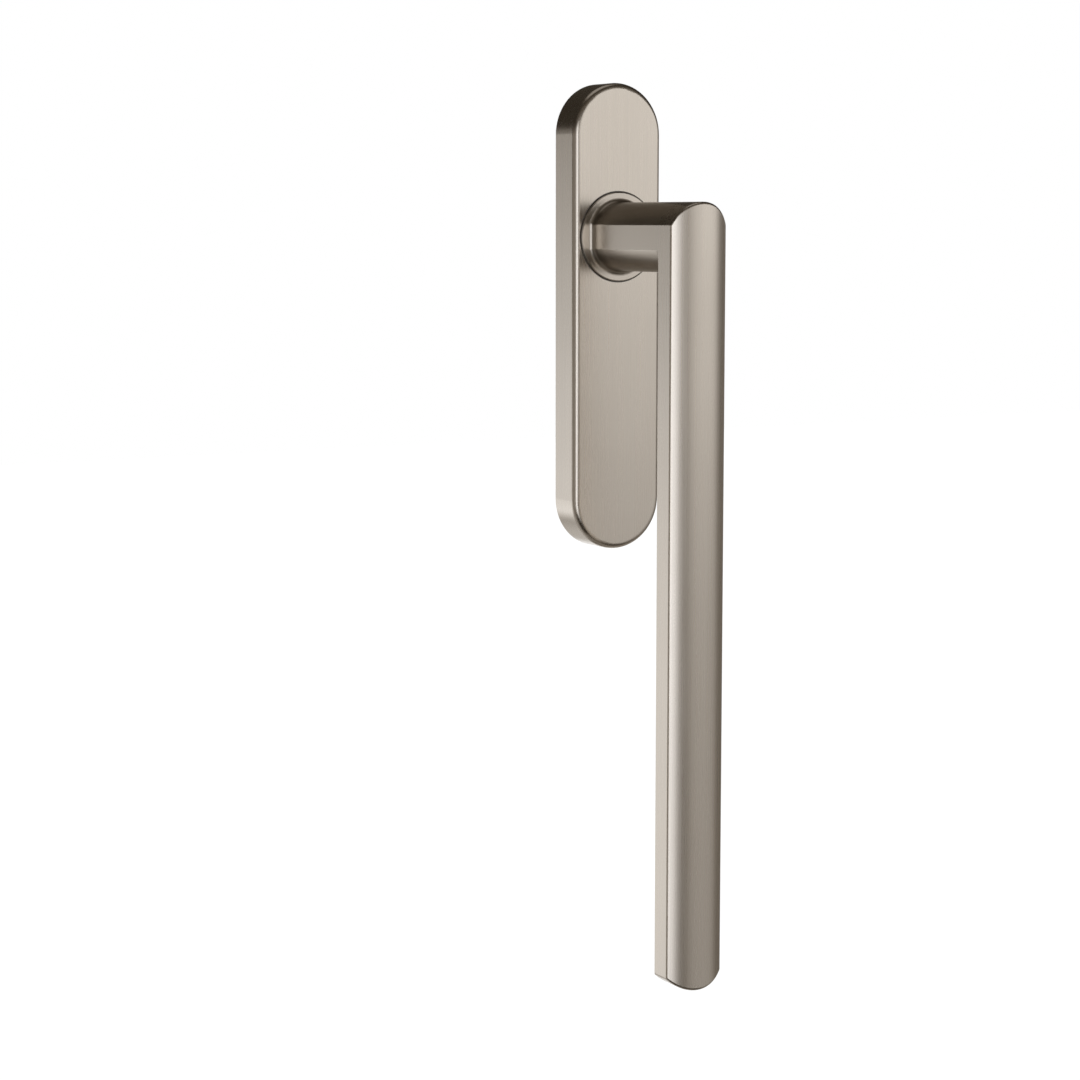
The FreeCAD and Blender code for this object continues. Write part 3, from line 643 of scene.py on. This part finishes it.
# Pale patches by their middle, size and blurred edges in degrees: turn 0 is straight in front of
# the handle and turn 90 to its left, low and top are how far they rise
FRONT_PATCHES = [
    {"turn": 30, "half_width": 14, "edge": 4, "low": -24, "top": 12, "fade": 4, "tone": 1.85},
    {"turn": -37, "half_width": 33, "edge": 7, "low": -7.5, "top": 14, "fade": 2, "tone": 0.88},
    {"turn": -41, "half_width": 34, "edge": 9, "low": -26, "top": -3, "fade": 4, "tone": 0.47},
    {"turn": 9, "half_width": 16, "edge": 8, "low": -6, "top": 12, "fade": 4, "tone": 0.42},
    {"turn": 9, "half_width": 16, "edge": 8, "low": -26, "top": -4, "fade": 4, "tone": 0.13},
    {"turn": 0, "half_width": 70, "edge": 20, "low": 14, "top": 45, "fade": 6, "tone": 0.13},
]
SIDE_PATCHES = [
    {"turn": 85, "half_width": 42, "edge": 8, "low": -26, "top": 8, "fade": 5, "tone": 0.29},
    {"turn": -102, "half_width": 18, "edge": 8, "low": -26, "top": 10, "fade": 6, "tone": 0.22},
]
BACK_PATCHES = [
    {"turn": 158, "half_width": 11, "edge": 5, "low": -26, "top": 2.5, "fade": 6, "tone": 1.60},
    {"turn": 175, "half_width": 12, "edge": 6, "low": -50, "top": 4, "fade": 6, "tone": 0.70},
    {"turn": -172, "half_width": 20, "edge": 6, "low": -50, "top": 4, "fade": 6, "tone": 0.70},
    {"turn": 138, "half_width": 16, "edge": 8, "low": -26, "top": -4, "fade": 4, "tone": 0.95},
    {"turn": -148, "half_width": 15, "edge": 8, "low": -40, "top": 8, "fade": 6, "tone": 1.45},
]
LOW_AND_HIGH_PATCHES = [
    {"turn": 135, "half_width": 50, "edge": 15, "low": -80, "top": -22, "fade": 8, "tone": 0.44},
    {"turn": -115, "half_width": 55, "edge": 15, "low": -80, "top": -24, "fade": 8, "tone": 0.32},
    {"turn": 0, "half_width": 60, "edge": 12, "low": -120, "top": -62, "fade": 6, "tone": 0.34},
    {"turn": 0, "half_width": 190, "edge": 5, "low": 66, "top": 120, "fade": 6, "tone": 0.42},
]
WALL_PATCHES = FRONT_PATCHES + SIDE_PATCHES + BACK_PATCHES + LOW_AND_HIGH_PATCHES


def wall_directions(tree):
    """Turn and rise of a place on the walls, in degrees."""
    east, north, up = tree.split(tree.place())
    left = tree.maths("MULTIPLY", east, -1.0)
    forward = tree.maths("MULTIPLY", north, -1.0)
    turn = tree.maths("ARCTAN2", left, forward)
    rise = tree.maths("ARCTAN2", up, tree.length(tree.joined(x=east, y=north)))
    in_degrees = math.degrees(1.0)
    return tree.maths("MULTIPLY", turn, in_degrees), tree.maths("MULTIPLY", rise, in_degrees)


def soft_patch(tree, turn, rise, patch):
    """Tone of one soft-edged patch of the studio walls."""
    off = tree.maths("ABSOLUTE", tree.maths("SUBTRACT", turn, patch["turn"]))
    half, edge, fade = patch["half_width"], patch["edge"], patch["fade"]
    across = tree.spread(off, half - edge, half + edge, 1.0, 0.0)
    over_low = tree.spread(rise, patch["low"] - fade, patch["low"] + fade, 0.0, 1.0)
    under_top = tree.spread(rise, patch["top"] - fade, patch["top"] + fade, 1.0, 0.0)
    shape = tree.maths("MULTIPLY", across, tree.maths("MULTIPLY", over_low, under_top))
    return tree.maths("MULTIPLY", shape, patch["tone"])


def wall_glow():
    """Walls that glow by the brightest patch at each place, warm where dim and cool where bright."""
    tree = new_finish("studio_walls")
    turn, rise = wall_directions(tree)
    tone = DIM_TONE
    for patch in WALL_PATCHES:
        tone = tree.maths("MAXIMUM", tone, soft_patch(tree, turn, rise, patch))
    share = tree.maths("DIVIDE", tone, BRIGHTEST_TONE)
    glow = tree.add("ShaderNodeEmission", {"Color": tree.ramp(share, WALL_COLOURS), "Strength": tone})
    return tree.finish(glow)


def make_studio_walls():
    """A far dim ball with paler patches all round, which only the metal reflects."""
    bpy.ops.object.select_all(action="DESELECT")
    bpy.ops.mesh.primitive_uv_sphere_add(segments=48, ring_count=24, radius=WALL_RADIUS)
    walls = bpy.context.object
    walls.name = "studio_walls"
    walls.visible_camera = False
    walls.visible_diffuse = False
    walls.visible_shadow = False
    walls.visible_transmission = False
    walls.data.materials.append(wall_glow())


dress_nodes()
make_fixing_screws()
make_camera()
make_world()
make_floor()
for softbox in SOFTBOXES:
    make_softbox(softbox)
make_studio_walls()

bpy.context.scene.view_settings.view_transform = "Standard"
